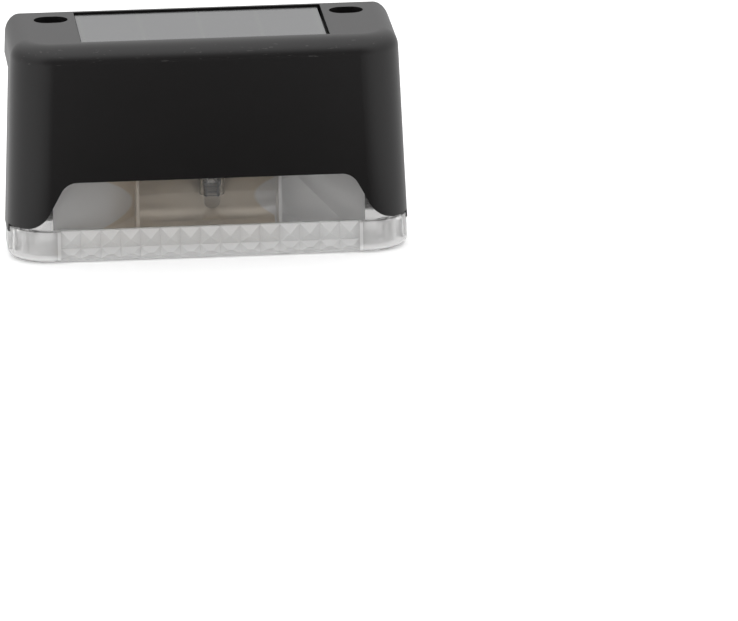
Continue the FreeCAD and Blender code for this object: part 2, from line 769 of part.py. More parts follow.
def make_led():
    top = "led_length"
    rim = "led_length - flange_thick"
    dome = turned("led_epoxy", [("0", "0", None), ("led_width / 2", "0", full_round("led_width")),
                                ("led_width / 2", rim, None), ("led_flange / 2", rim, None),
                                ("led_flange / 2", top, None), ("0", top, None)],
                  "led_side", LED_Y, "led_tip")
    leads = []
    for name, side in (("cup", "-"), ("post", "+")):
        across = around("led_side %s lead_pitch / 2" % side, "lead_width / 2")
        lead = box("lead_" + name, across, around(LED_Y, "lead_width / 2"),
                   ("led_tip + led_width", "%s + lead_stub" % BOARD_TOP))
        head = box("lead_head_" + name, across, around(LED_Y, "lead_head / 2"),
                   around("led_tip + led_width", "lead_head"))
        leads.append(fuse("led_lead_" + name, lead, head))
    frame = part("led_frame", group("led_leads", *leads))
    part("led_body", cut("led_clear", dome, frame))
    seat = "%s - collar_bottom" % MIRROR_TOP
    bore, wide_bore = "(led_width + fit_gap) / 2", "(led_flange + fit_gap) / 2"
    ledge = "led_tip + led_length - flange_thick - collar_bottom"
    part("led_collar", turned("collar", sharp([
        (bore, "0"), ("collar_width / 2", "0"), ("collar_width / 2", seat),
        ("collar_flange / 2", seat), ("collar_flange / 2", "%s + collar_rim" % seat),
        (wide_bore, "%s + collar_rim" % seat), (wide_bore, ledge), (bore, ledge)]),
        "led_side", LED_Y, "collar_bottom"))


def make_board():
    plate = box("board_plate", around("0", BOARD_HALF), around(LED_Y, "%s / 2" % BOARD_DEEP),
                (BOARD_UNDER, BOARD_TOP))
    holes, screws = [], []
    sizes = ("board_screw", "board_screw_length", "board_screw_head", "board_screw_tall")
    for name, side in (("left", "-"), ("right", "+")):
        x = "%s board_hole_spacing / 2" % side
        holes.append(rod("board_hole_" + name, "z", x, LED_Y, MIRROR_TOP, "board_hole", "height / 2"))
        holes.append(rod("lead_hole_" + name, "z", "led_side %s lead_pitch / 2" % side, LED_Y,
                         MIRROR_TOP, "lead_hole", "height / 2"))
        screws.append(screw("board_screw_" + name, x, LED_Y, "%s - board_screw_length" % BOARD_TOP,
                            "z", sizes, False))
    part("circuit_board", cut("board", plate, *holes))
    part("board_screws", group("board_screw_group", *screws))
    chip_x = "-board_hole_spacing / 4"
    legs = []
    for i in range(CHIP_LEGS):
        x = "%s + (%g) * leg_pitch" % (chip_x, i - (CHIP_LEGS - 1) / 2)
        legs.append(box("chip_leg_%d" % i, around(x, "leg_width / 2"),
                        around(LED_Y, "chip_deep / 2 + leg_reach"),
                        (BOARD_TOP, "%s + chip_tall / 2" % BOARD_TOP)))
    body = box("chip_body", around(chip_x, "%d * leg_pitch / 2" % CHIP_LEGS),
               around(LED_Y, "chip_deep / 2"), (BOARD_TOP, "%s + chip_tall" % BOARD_TOP))
    part("driver_chip", fuse("chip", body, *legs))
    rim, waist = "coil_width / 2", "coil_width / 2 - coil_groove"
    shelf = "coil_tall - coil_groove"
    part("inductor", turned("coil", sharp([
        ("0", "0"), (rim, "0"), (rim, "coil_groove"), (waist, "coil_groove"), (waist, shelf),
        (rim, shelf), (rim, "coil_tall"), ("0", "coil_tall")]),
        "board_hole_spacing / 4", LED_Y, BOARD_TOP))
    can_y = "%s - %s / 2 + can_width / 2 + fit_gap" % (LED_Y, BOARD_DEEP)
    part("capacitor", turned("can", sharp([
        ("0", "0"), ("can_width / 2", "0"), ("can_width / 2", "can_tall - can_edge"),
        ("can_width / 2 - can_edge", "can_tall"), ("0", "can_tall")]), "0", can_y, BOARD_TOP))


# ---- solar panel -------------------------------------------------------------------


def make_panel():
    x = around("-panel_shift", "panel_width / 2")
    y = ("%s + fit_gap" % RECESS_FRONT, "%s + fit_gap + panel_depth" % RECESS_FRONT)
    floor = "height - recess_drop"
    back = "%s + tape_thick" % floor
    face = "%s + substrate_thick" % back
    top = "%s + cell_thick + resin_thick" % face
    tape = box("tape_sheet", x, y, (floor, back))
    part("panel_tape", cut("tape", tape, rod("tape_hole", "z", "0", WIRE_Y, "height - slab",
                                             "wire_hole", "slab")))
    part("solar_substrate", box("substrate", x, y, (back, face)))
    strips = []
    pitch = "(panel_width - 2 * cell_margin + cell_gap) / %d" % CELL_STRIPS
    for i in range(CELL_STRIPS):
        left = "-panel_shift - panel_width / 2 + cell_margin + %d * %s" % (i, pitch)
        strips.append(box("strip_%d" % i, (left, "%s + %s - cell_gap" % (left, pitch)),
                          ("%s + cell_margin" % y[0], "%s - cell_margin" % y[1]),
                          (face, "%s + cell_thick" % face)))
    cells = part("solar_cells", group("strips", *strips))
    part("solar_resin", cut("resin", box("resin_sheet", x, y, (face, top)), cells))


# ---- battery and switch --------------------------------------------------------------


def make_battery():
    barrel = "cell_length - nub_tall"
    radius, end = "cell_width / 2", "cell_width / 2 - cell_edge"
    part("battery_cell", turned("aaa_cell", sharp([
        ("0", "0"), (end, "0"), (radius, "cell_edge"), (radius, "%s - cell_edge" % barrel),
        (end, barrel), ("nub_width / 2", barrel), ("nub_width / 2", "cell_length"),
        ("0", "cell_length")]), "-cell_length / 2", CELL_Y, CELL_Z, "x"))
    tabs = []
    for name, x in (("left", ("-cell_length / 2 - tab_thick", "-cell_length / 2")),
                    ("right", ("cell_length / 2", "cell_length / 2 + tab_thick"))):
        tabs.append(box("tab_" + name, x, around(CELL_Y, "tab_width / 2"),
                        around(CELL_Z, "tab_tall / 2")))
    part("battery_tabs", group("tab_pair", *tabs))
    wall_face = "%s + wall" % front("%s + foam_tall / 2" % CELL_Z)
    part("battery_foam", box("foam_block", around("0", "foam_width / 2"),
                             (wall_face, "%s - cell_width / 2" % CELL_Y),
                             around(CELL_Z, "foam_tall / 2")))


def make_switch():
    mid, high = "switch_side", "switch_height"
    shell = fuse("switch_shell",
                 box("switch_case", around(mid, "switch_width / 2"),
                     ("%s - switch_deep" % SWITCH_FACE, SWITCH_FACE),
                     around(high, "switch_tall / 2")),
                 box("switch_ears", around(mid, "ear_spacing / 2 + ear_screw"),
                     ("%s - ear_thick" % SWITCH_FACE, SWITCH_FACE), around(high, "switch_tall / 2")))
    holes = [box("switch_room", around(mid, "base_width / 2 + switch_travel / 2 + slot_gap"),
                 ("%s - base_thick - 2 * slot_gap" % SWITCH_FACE, "depth"),
                 around(high, "base_tall / 2 + slot_gap"))]
    for side, x in EARS.items():
        holes.append(rod("ear_hole_" + side, "y", x, "%s - 1" % SWITCH_FACE, high,
                         "ear_screw + fit_gap", "2"))
    part("switch_body", cut("switch_whole", shell, *holes))
    back = "%s - slot_gap" % SWITCH_FACE
    start = "%s - switch_travel / 2" % mid
    part("switch_slider", fuse(
        "slider",
        box("slider_base", around(start, "base_width / 2"), ("%s - base_thick" % back, back),
            around(high, "base_tall / 2")),
        box("slider_stem", around(start, "slider_width / 2"),
            (back, "%s - slider_sink" % BODY_REAR), around(high, "slider_width / 2"))))
    pins = [box("pin_%d" % place, around(pin_x(place), "pin_width / 2"),
                (PIN_END, "%s - switch_deep" % SWITCH_FACE), around(high, "pin_width / 2"))
            for place in (-1, 0, 1)]
    part("switch_terminals", group("pins", *pins))
    sizes = ("ear_screw", "ear_screw_length + ear_thick", "ear_head", "ear_head_tall")
    screws = [screw("ear_screw_" + side, x, "%s - ear_thick - ear_head_tall" % SWITCH_FACE, high,
                    "y", sizes, True) for side, x in EARS.items()]
    part("switch_screws", group("ear_screw_group", *screws))


# ---- wires -------------------------------------------------------------------------


def bent_wire(node, x):
    """A wire forward from a switch pin, round a quarter turn, then down to the board."""
    run = rod(node + "_run", "y", x, "%s - wire_bend" % PIN_END, "switch_height", "wire_width",
              "wire_bend")
    bend = doc.addObject("Part::Torus", node + "_bend")
    bend.Placement = FreeCAD.Placement(FreeCAD.Vector(), TURNS["x"].multiply(HALF_TURN))
    bend.Angle3 = 90
    bind(bend, x=x, y="%s - wire_bend" % PIN_END, z="switch_height - wire_bend",
         Radius1="wire_bend", Radius2="wire_width / 2")
    drop = rod(node + "_drop", "z", x, "%s - 2 * wire_bend" % PIN_END, BOARD_TOP, "wire_width",
               "switch_height - wire_bend - (%s)" % BOARD_TOP)
    part(node, fuse(node + "_whole", run, bend, drop))


def make_wires():
    for colour, side in (("red", "-"), ("black", "+")):
        node = "panel_wire_" + colour
        part(node, rod(node + "_run", "z", "%s wire_pitch / 2" % side, WIRE_Y, BOARD_TOP,
                       "wire_width", "height - recess_drop + tape_thick - (%s)" % BOARD_TOP))
        node = "battery_wire_" + colour
        part(node, rod(node + "_run", "z", "%s (cell_length / 2 + tab_thick + wire_width / 2)" % side,
                       CELL_Y, BOARD_TOP, "wire_width", "%s - (%s)" % (CELL_Z, BOARD_TOP)))
    bent_wire("switch_wire_yellow", pin_x(0))
    bent_wire("switch_wire_blue", pin_x(-1))


make_housing()
make_rear_cover()
make_cover_screws()
make_lens()
make_reflector()
make_led()
make_board()
make_panel()
make_battery()
make_switch()
make_wires()


# ---- hand-over -------------------------------------------------------------------


def check_and_write():
    """Stop on any failed object or shape, then write each sub-part."""
    doc.recompute()
    for thing in doc.Objects:
        if {"Invalid", "Error"} & set(thing.State):
            raise RuntimeError("failed object: %s %s" % (thing.Name, thing.State))
    os.makedirs("parts", exist_ok=True)
    for thing in parts:
        shape = thing.Shape
        if shape.isNull() or not shape.isValid() or shape.Volume < 1e-3:
            raise RuntimeError("bad shape: " + thing.Label)
    for thing in parts:
        thing.Shape.exportStep("parts/%s.step" % thing.Label)
        edges = thing.Shape.BoundBox
        print("%-20s solids %d  volume %9.1f  x %.2f..%.2f  y %.2f..%.2f  z %.2f..%.2f" % (
            thing.Label, len(thing.Shape.Solids), thing.Shape.Volume, edges.XMin, edges.XMax,
            edges.YMin, edges.YMax, edges.ZMin, edges.ZMax))


check_and_write()
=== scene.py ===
# %% [markdown]
# A solar fence light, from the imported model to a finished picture. The frame
# brings every moulding and every inner part at its true place, in metres. What
# is left for Blender is the finish of each surface, the small forms that the
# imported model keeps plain, such as the cross in a screw head, and the light of
# a plain studio.

# %% Open the frame
import json
import math

import bpy
from mathutils import Matrix, Vector


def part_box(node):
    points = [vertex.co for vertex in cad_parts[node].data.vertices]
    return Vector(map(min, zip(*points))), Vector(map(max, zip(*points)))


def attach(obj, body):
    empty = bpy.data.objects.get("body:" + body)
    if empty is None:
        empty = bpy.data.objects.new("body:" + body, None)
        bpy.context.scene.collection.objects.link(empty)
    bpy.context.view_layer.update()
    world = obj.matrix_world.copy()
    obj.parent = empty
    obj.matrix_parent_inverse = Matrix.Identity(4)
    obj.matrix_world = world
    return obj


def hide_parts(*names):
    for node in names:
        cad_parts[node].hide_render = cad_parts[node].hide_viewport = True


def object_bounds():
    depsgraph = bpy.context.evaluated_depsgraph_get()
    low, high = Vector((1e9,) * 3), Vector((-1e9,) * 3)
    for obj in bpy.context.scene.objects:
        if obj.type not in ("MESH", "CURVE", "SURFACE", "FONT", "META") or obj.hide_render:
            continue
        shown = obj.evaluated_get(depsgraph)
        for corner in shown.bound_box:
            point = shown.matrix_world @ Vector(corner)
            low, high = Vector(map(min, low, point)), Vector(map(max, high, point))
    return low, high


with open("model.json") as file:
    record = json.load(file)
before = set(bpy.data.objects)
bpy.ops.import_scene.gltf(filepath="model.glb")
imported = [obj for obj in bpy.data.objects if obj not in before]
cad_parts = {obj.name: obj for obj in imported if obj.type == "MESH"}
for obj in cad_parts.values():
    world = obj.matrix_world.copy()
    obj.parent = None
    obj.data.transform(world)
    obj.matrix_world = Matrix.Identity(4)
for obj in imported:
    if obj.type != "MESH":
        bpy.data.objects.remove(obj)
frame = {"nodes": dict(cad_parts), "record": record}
nodes = frame["nodes"]
cad_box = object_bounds()
low, high = Vector(cad_box[0]), Vector(cad_box[1])
print("nodes:", len(nodes), "size in mm:", [round(v * 1000, 1) for v in high - low])

# %% [markdown]
# The picture is a product shot through a long lens: lines that run back keep
# nearly their full spread. A camera could be set near and wide, or turned
# towards the corner of the frame where the light sits, but both would change
# the angles of the housing. So it stands three metres away, looks along the
# direction that shows the front from a little left and above, and is slid
# sideways and down until the light sits in the upper left of the frame.

# %% Camera
AZIMUTH = math.radians(5.142)
ELEVATION = math.radians(16.185)
ROLL = math.radians(-0.660)
DISTANCE = 3.0033
IMAGE_WIDTH = 738
FOCAL_PIXELS = 9948.5
MIDDLE = Vector((0, 0, 0.0325))
FRAME_RIGHT, FRAME_DOWN = 0.04996, 0.05312

ahead = Vector((math.sin(AZIMUTH) * math.cos(ELEVATION),
                math.cos(AZIMUTH) * math.cos(ELEVATION), -math.sin(ELEVATION)))
level = Vector((math.cos(AZIMUTH), -math.sin(AZIMUTH), 0))
above = level.cross(ahead)
right = math.cos(ROLL) * level + math.sin(ROLL) * above
up = math.cos(ROLL) * above - math.sin(ROLL) * level
camera_data = bpy.data.cameras.new("product_camera")
camera_data.sensor_width = 36
camera_data.lens = FOCAL_PIXELS / IMAGE_WIDTH * camera_data.sensor_width
camera_data.clip_end = 20
camera = bpy.data.objects.new("product_camera", camera_data)
bpy.context.scene.collection.objects.link(camera)
place = MIDDLE - ahead * DISTANCE + right * FRAME_RIGHT - up * FRAME_DOWN
turn = Matrix((right, up, -ahead)).transposed().to_4x4()
camera.matrix_world = Matrix.Translation(place) @ turn
bpy.context.scene.camera = camera
print("lens in mm:", round(camera_data.lens), "distance in m:", round(DISTANCE, 2))

# %% [markdown]
# Most finishes below are small trees of nodes: a pattern in object coordinates
# drives the colour, the roughness and a fine bump. Writing each tree out in full
# would hide what differs between them, so the steps that repeat are helpers.


# %% Helpers for node trees
def new_material(name):
    """An empty principled material and its node tree."""
    material = bpy.data.materials.new(name)
    material.use_nodes = True
    tree = material.node_tree
    shader = next(n for n in tree.nodes if n.type == "BSDF_PRINCIPLED")
    return material, tree, shader


def add_node(tree, kind, **settings):
    """A node with its settings and its unlinked inputs filled in."""
    node = tree.nodes.new(kind)
    for key, value in settings.items():
        if key in node.inputs:
            node.inputs[key].default_value = value
        else:
            setattr(node, key, value)
    return node


def noise(tree, scale, detail=2.0, stretch=(1, 1, 1)):
    """A noise texture on object coordinates, in metres."""
    coords = add_node(tree, "ShaderNodeTexCoord")
    mapping = add_node(tree, "ShaderNodeMapping")
    mapping.inputs["Scale"].default_value = stretch
    texture = add_node(tree, "ShaderNodeTexNoise", Scale=scale, Detail=detail)
    tree.links.new(coords.outputs["Object"], mapping.inputs["Vector"])
    tree.links.new(mapping.outputs["Vector"], texture.inputs["Vector"])
    return texture.outputs["Fac"]


def blend_colours(tree, factor, dark, light, start=0.0, end=1.0):
    """Two colours mixed by a factor, over a stretch of it."""
    ramp = add_node(tree, "ShaderNodeValToRGB")
    ramp.color_ramp.elements[0].color = (*dark, 1)
    ramp.color_ramp.elements[0].position = start
    ramp.color_ramp.elements[1].color = (*light, 1)
    ramp.color_ramp.elements[1].position = end
    tree.links.new(factor, ramp.inputs["Fac"])
    return ramp.outputs["Color"]


def blend_values(tree, factor, least, most):
    """A number between two limits, by a factor."""
    spread = add_node(tree, "ShaderNodeMapRange")
    spread.inputs["To Min"].default_value = least
    spread.inputs["To Max"].default_value = most
    tree.links.new(factor, spread.inputs["Value"])
    return spread.outputs["Result"]


def calculate(tree, operation, *values):
    """One sum; each value is a number or an output."""
    node = add_node(tree, "ShaderNodeMath", operation=operation)
    for slot, value in zip(node.inputs, values):
        if isinstance(value, (int, float)):
            slot.default_value = value
        else:
            tree.links.new(value, slot)
    return node.outputs["Value"]


def object_place(tree):
    """X, Y and Z of the spot on the piece, in metres."""
    coords = add_node(tree, "ShaderNodeTexCoord")
    split = add_node(tree, "ShaderNodeSeparateXYZ")
    tree.links.new(coords.outputs["Object"], split.inputs["Vector"])
    return split.outputs


def add_bump(tree, shader, height, depth, strength=1.0):
    """Press a height into the surface; depth is in metres."""
    bump = add_node(tree, "ShaderNodeBump", Strength=strength, Distance=depth)
    tree.links.new(height, bump.inputs["Height"])
    tree.links.new(bump.outputs["Normal"], shader.inputs["Normal"])


print("helpers ready")

# %% [markdown]
# The studio is a white room, and only the small patch of it where the
# photographer stands is darker, as seen in gloss and through the lens. That patch
# keeps the front of a black housing black in its gloss, while its rounded corners
# pick up the white beside it. More lamps could never do that, so a world colour
# that depends on the direction does it. Matt surfaces get one even white, and the
# camera sees plain white.

# %% The room
ROOM_WHITE = (1.0, 1.0, 1.0)
PATCH_IN_GLASS = (0.62, 0.57, 0.52)
PATCH_IN_GLOSS = (0.06, 0.055, 0.05)
GLOSS_WHITE = (0.80, 0.80, 0.80)
ROOM_FILL = 0.88
OVERHEAD, CEILING_FROM, CEILING_TO = 1.0, 0.25, 0.85


def choose(tree, factor, first, second):
    """The first colour where the factor is 0, the second where it is 1."""
    mix = add_node(tree, "ShaderNodeMix", data_type="RGBA")
    tree.links.new(factor, mix.inputs["Factor"])
    colour_inputs = [i for i in mix.inputs if i.type == "RGBA"]
    for socket, colour in zip(colour_inputs, (first, second)):
        if isinstance(colour, tuple):
            socket.default_value = (*colour, 1)
        else:
            tree.links.new(colour, socket)
    return next(o for o in mix.outputs if o.type == "RGBA")


world = bpy.data.worlds.new("studio")
bpy.context.scene.world = world
world.use_nodes = True
sky = world.node_tree
background = next(n for n in sky.nodes if n.type == "BACKGROUND")
direction = add_node(sky, "ShaderNodeTexCoord")
heading = add_node(sky, "ShaderNodeSeparateXYZ")
sky.links.new(direction.outputs["Generated"], heading.inputs["Vector"])
away = calculate(sky, "MULTIPLY_ADD", heading.outputs["Y"], 0.5, 0.5)
in_glass = blend_colours(sky, away, PATCH_IN_GLASS, ROOM_WHITE, 0.02, 0.30)
in_gloss = blend_colours(sky, away, PATCH_IN_GLOSS, GLOSS_WHITE, 0.03, 0.13)
ray = add_node(sky, "ShaderNodeLightPath").outputs
room = choose(sky, ray["Is Glossy Ray"], in_glass, in_gloss)
room = choose(sky, ray["Is Diffuse Ray"], room, ROOM_WHITE)
room = choose(sky, ray["Is Camera Ray"], room, ROOM_WHITE)
sky.links.new(room, background.inputs["Color"])
ceiling = add_node(sky, "ShaderNodeMapRange")
ceiling.inputs["From Min"].default_value = CEILING_FROM
ceiling.inputs["From Max"].default_value = CEILING_TO
ceiling.inputs["To Max"].default_value = OVERHEAD
sky.links.new(heading.outputs["Z"], ceiling.inputs["Value"])
ceiling_gloss = calculate(sky, "MULTIPLY", ceiling.outputs["Result"], ray["Is Glossy Ray"])
level_light = blend_values(sky, ray["Is Diffuse Ray"], 1.0, ROOM_FILL)
sky.links.new(calculate(sky, "ADD", level_light, ceiling_gloss), background.inputs["Strength"])
print("room fill:", ROOM_FILL, "overhead:", OVERHEAD)

# %% [markdown]
# The table is a sheet of matt white paper. Lit by the room alone it would come
# out a pale grey, and more light would wash out the housing, so the paper glows a
# little to the camera and through the lens, and keeps its soft shadow. A black
# card lies in front of the light, as a product photographer would lay one, and it
# too is seen only in gloss: without it the upright front would mirror white
# paper.

# %% The table
CARD_MIDDLE, CARD_HALF, CARD_EDGE, CARD_FRONT = 0.012, 0.055, 0.05, -0.03
CARD_BLACK = (0.05, 0.046, 0.044)
TABLE_SIDE, TABLE_GAP = 6, 0.0002
GLOW_TO_CAMERA, GLOW_THROUGH_LENS = 0.35, 0.30
bpy.ops.object.select_all(action="DESELECT")
bpy.ops.mesh.primitive_plane_add(size=TABLE_SIDE, location=(0, 0, low.z - TABLE_GAP))
table = bpy.context.object
table.name = "studio_table"
paper, tree, shader = new_material("table_paper")
fibre = noise(tree, 400, 3)
pale = blend_colours(tree, fibre, (0.80, 0.80, 0.80), (0.84, 0.84, 0.84))
spot = object_place(tree)
aside = calculate(tree, "ABSOLUTE", calculate(tree, "SUBTRACT", spot["X"], CARD_MIDDLE))
card = add_node(tree, "ShaderNodeMapRange")
card.inputs["From Min"].default_value = CARD_HALF + CARD_EDGE
card.inputs["From Max"].default_value = CARD_HALF
tree.links.new(aside, card.inputs["Value"])
in_front = calculate(tree, "LESS_THAN", spot["Y"], CARD_FRONT)
card_here = calculate(tree, "MULTIPLY", card.outputs["Result"], in_front)
ray = add_node(tree, "ShaderNodeLightPath").outputs
card_seen = calculate(tree, "MULTIPLY", card_here, ray["Is Glossy Ray"])
tree.links.new(choose(tree, card_seen, pale, CARD_BLACK), shader.inputs["Base Color"])
shader.inputs["Roughness"].default_value = 0.9
shader.inputs["Specular IOR Level"].default_value = 0.1
glow = calculate(tree, "MULTIPLY", ray["Is Camera Ray"], GLOW_TO_CAMERA)
glow = calculate(tree, "MULTIPLY_ADD", ray["Is Transmission Ray"], GLOW_THROUGH_LENS, glow)
shader.inputs["Emission Color"].default_value = (1, 1, 1, 1)
tree.links.new(glow, shader.inputs["Emission Strength"])
table.data.materials.append(paper)
print("card half width in mm:", CARD_HALF * 1000)

# %% [markdown]
# Three softboxes give the shadows a direction: one above and behind, one at
# each side. They are hidden from mirrors and glass, which would show them as
# hard white squares, and the room gives all the reflections instead.


# %% Lamps
def softbox(name, place, aim, size, power):
    """A square softbox that points at a spot."""
    data = bpy.data.lights.new(name, "AREA")
    data.shape = "RECTANGLE"
    data.size, data.size_y = size
    data.energy = power
    lamp = bpy.data.objects.new(name, data)
    bpy.context.scene.collection.objects.link(lamp)
    lamp.visible_glossy = False
    lamp.visible_transmission = False
    direction = Vector(aim) - Vector(place)
    lamp.matrix_world = (Matrix.Translation(place)
                         @ direction.to_track_quat("-Z", "Y").to_matrix().to_4x4())
    return lamp


LAMP_AIM = (0, 0, 0.03)
SIDE_BOX, TOP_BOX = (0.5, 0.7), (0.9, 0.7)
boxes = [softbox("box_above", (0.0, 0.25, 0.9), LAMP_AIM, TOP_BOX, 3.0),
         softbox("box_left", (-0.9, -0.1, 0.35), LAMP_AIM, SIDE_BOX, 0.9),
         softbox("box_right", (0.9, -0.1, 0.35), LAMP_AIM, SIDE_BOX, 0.7)]
print("softboxes in watts:", [lamp.data.energy for lamp in boxes])

# %% [markdown]
# The housing is moulded from matt black plastic. Its mould was spark eroded, so
# the skin has a fine grain with no direction. The plastic itself is almost
# black, and what shows is the room in its dull skin. Handling has left short
# pale scuffs along the front edge of the top, so a stretched noise, cut off
# high, is mixed in there and nowhere else.


# %% Black moulding
SCUFF_LOW, SCUFF_HIGH, SCUFF_FRONT, SCUFF_CUT = 0.0612, 0.0655, -0.0165, 0.665
SCUFF_PALE = (0.032, 0.030, 0.030)


def stripe(tree, value, least, most):
    """1 where a value lies between two limits, 0 elsewhere."""
    above = calculate(tree, "GREATER_THAN", value, least)
    return calculate(tree, "MULTIPLY", above, calculate(tree, "LESS_THAN", value, most))


def black_moulding():
    material, tree, shader = new_material("matt_black_moulding")
    grain = noise(tree, 7000, 2)
    cloud = noise(tree, 90, 3)
    body = blend_colours(tree, cloud, (0.0046, 0.0040, 0.0042), (0.0068, 0.0059, 0.0062))
    scuff = noise(tree, 900, 4, (0.35, 1, 1.6))
    scuff = calculate(tree, "GREATER_THAN", scuff, SCUFF_CUT)
    spot = object_place(tree)
    edge = stripe(tree, spot["Z"], SCUFF_LOW, SCUFF_HIGH)
    in_front = calculate(tree, "LESS_THAN", spot["Y"], SCUFF_FRONT)
    edge = calculate(tree, "MULTIPLY", edge, in_front)
    worn = calculate(tree, "MULTIPLY", scuff, edge)
    tree.links.new(choose(tree, worn, body, SCUFF_PALE), shader.inputs["Base Color"])
    tree.links.new(blend_values(tree, grain, 0.32, 0.44), shader.inputs["Roughness"])
    add_bump(tree, shader, grain, 0.00002, 0.35)
    return material


black_shell = black_moulding()
print("made", black_shell.name)

# %% [markdown]
# The lens is one clear moulding. In the window it is thin and clear, with a
# trace of haze. The band below is full of facets on both faces, so light that
# enters it leaves in all directions, and to the eye it is milky. Tracing that
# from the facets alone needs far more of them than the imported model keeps, so
# the band and the corners scatter a share of the light themselves.


# %% Clear moulding
BAND_TOP, BAND_HALF, BAND_BLUR = 0.0097, 0.0460, 0.0002
BAND_CLEAR, CORNER_CLEAR, WINDOW_CLEAR = 0.50, 0.72, 0.975


def clear_moulding():
    material, tree, shader = new_material("clear_lens_moulding")
    flow = noise(tree, 120, 2)
    tree.links.new(blend_colours(tree, flow, (0.975, 0.972, 0.968), (0.99, 0.987, 0.983)),
                   shader.inputs["Base Color"])
    spot = object_place(tree)
    side = calculate(tree, "GREATER_THAN", calculate(tree, "ABSOLUTE", spot["X"]), BAND_HALF)
    low_down = blend_values(tree, side, BAND_CLEAR, CORNER_CLEAR)
    rise = add_node(tree, "ShaderNodeMapRange")
    rise.inputs["From Min"].default_value = BAND_TOP - BAND_BLUR
    rise.inputs["From Max"].default_value = BAND_TOP + BAND_BLUR
    rise.inputs["To Max"].default_value = WINDOW_CLEAR
    tree.links.new(spot["Z"], rise.inputs["Value"])
    tree.links.new(low_down, rise.inputs["To Min"])
    tree.links.new(rise.outputs["Result"], shader.inputs["Transmission Weight"])
    shader.inputs["IOR"].default_value = 1.5
    tree.links.new(blend_values(tree, flow, 0.01, 0.04), shader.inputs["Roughness"])
    return material


def clear_resin(name, tint, least, most):
    """A clear piece with faint flow marks, for the LED and its collar."""
    material, tree, shader = new_material(name)
    flow = noise(tree, 260, 2)
    tree.links.new(blend_colours(tree, flow, [v * 0.985 for v in tint], tint),
                   shader.inputs["Base Color"])
    shader.inputs["Transmission Weight"].default_value = 1
    shader.inputs["IOR"].default_value = 1.5
    tree.links.new(blend_values(tree, flow, least, most), shader.inputs["Roughness"])
    return material


# %% [markdown]
# The tray behind the window is pale plastic with a thin vapour coat, a satin
# silver that is only part metal, so it stays even and bright. Round the LED a
# warm reflection is painted into its colour, shaped like an hourglass lying
# across the trough. Its border is a parabola in the height, so it is worked out
# from the spot on the piece, and it ends at the right-hand rib.


# %% Satin silver with a painted reflection
# Where the painted warm reflection lies on the tray, in metres.
PAINTED_REFLECTION_MIDDLE, PAINTED_REFLECTION_HEIGHT, PAINTED_REFLECTION_NECK, PAINTED_REFLECTION_FLARE = -0.0040, 0.0153, 0.0186, 165.0
PAINTED_REFLECTION_SOFT, RIGHT_RIB = 0.0006, 0.0203


def silver_coating():
    material, tree, shader = new_material("silver_coating")
    spot = object_place(tree)
    # The warm hourglass round the LED is a painted reflection, mixed into the silver colour.
    rise = calculate(tree, "SUBTRACT", spot["Z"], PAINTED_REFLECTION_HEIGHT)
    squared = calculate(tree, "MULTIPLY", rise, rise)
    reach = calculate(tree, "MULTIPLY_ADD", squared, PAINTED_REFLECTION_FLARE, PAINTED_REFLECTION_NECK)
    aside = calculate(tree, "ABSOLUTE", calculate(tree, "SUBTRACT", spot["X"], PAINTED_REFLECTION_MIDDLE))
    inside = add_node(tree, "ShaderNodeMapRange")
    inside.inputs["From Min"].default_value = -PAINTED_REFLECTION_SOFT
    inside.inputs["From Max"].default_value = PAINTED_REFLECTION_SOFT
    tree.links.new(calculate(tree, "SUBTRACT", reach, aside), inside.inputs["Value"])
    before_rib = calculate(tree, "LESS_THAN", spot["X"], RIGHT_RIB)
    painted_reflection = calculate(tree, "MULTIPLY", inside.outputs["Result"], before_rib)
    cloud = noise(tree, 300, 3)
    silver = blend_colours(tree, cloud, (0.90, 0.90, 0.90), (0.93, 0.93, 0.93))
    painted_reflection_tint = blend_colours(tree, cloud, (0.78, 0.69, 0.57), (0.83, 0.75, 0.64))
    tree.links.new(choose(tree, painted_reflection, silver, painted_reflection_tint), shader.inputs["Base Color"])
    shader.inputs["Metallic"].default_value = 0.3
    tree.links.new(blend_values(tree, cloud, 0.30, 0.36), shader.inputs["Roughness"])
    return material


# %% [markdown]
# The panel is four dark strips of silicon under resin. Each strip has fine
# silver fingers along it. They are printed, far too thin to model, so they are
# stripes in the colour. The resin over them is smooth, and from the front it
# mirrors the far side of the room, which gives part of its even grey. It isn't
# traced as clear: the strips, their gaps and the fingers are drawn on its face in
# close greys, which is quicker and has no noise, and shows from above. Those
# greys are far lighter than the silicon: the rest of the grey is a painted sheen.


# %% Panel
FINGER_PITCH, FINGER_WIDTH = 0.0016, 0.00012
STRIPS, STRIP_GAP = 4, 0.001


def every(tree, value, pitch, width):
    """1 on lines of a width that repeat at a pitch."""
    turns = calculate(tree, "FRACT", calculate(tree, "DIVIDE", value, pitch))
    return calculate(tree, "LESS_THAN", turns, width / pitch)


def silicon_strips():
    material, tree, shader = new_material("silicon_strips")
    spot = object_place(tree)
    crystal = noise(tree, 260, 1)
    dark = blend_colours(tree, crystal, (0.010, 0.012, 0.022), (0.016, 0.019, 0.034))
    fingers = every(tree, spot["Y"], FINGER_PITCH, FINGER_WIDTH)
    tree.links.new(choose(tree, fingers, dark, (0.30, 0.30, 0.31)), shader.inputs["Base Color"])
    tree.links.new(blend_values(tree, crystal, 0.22, 0.34), shader.inputs["Roughness"])
    return material


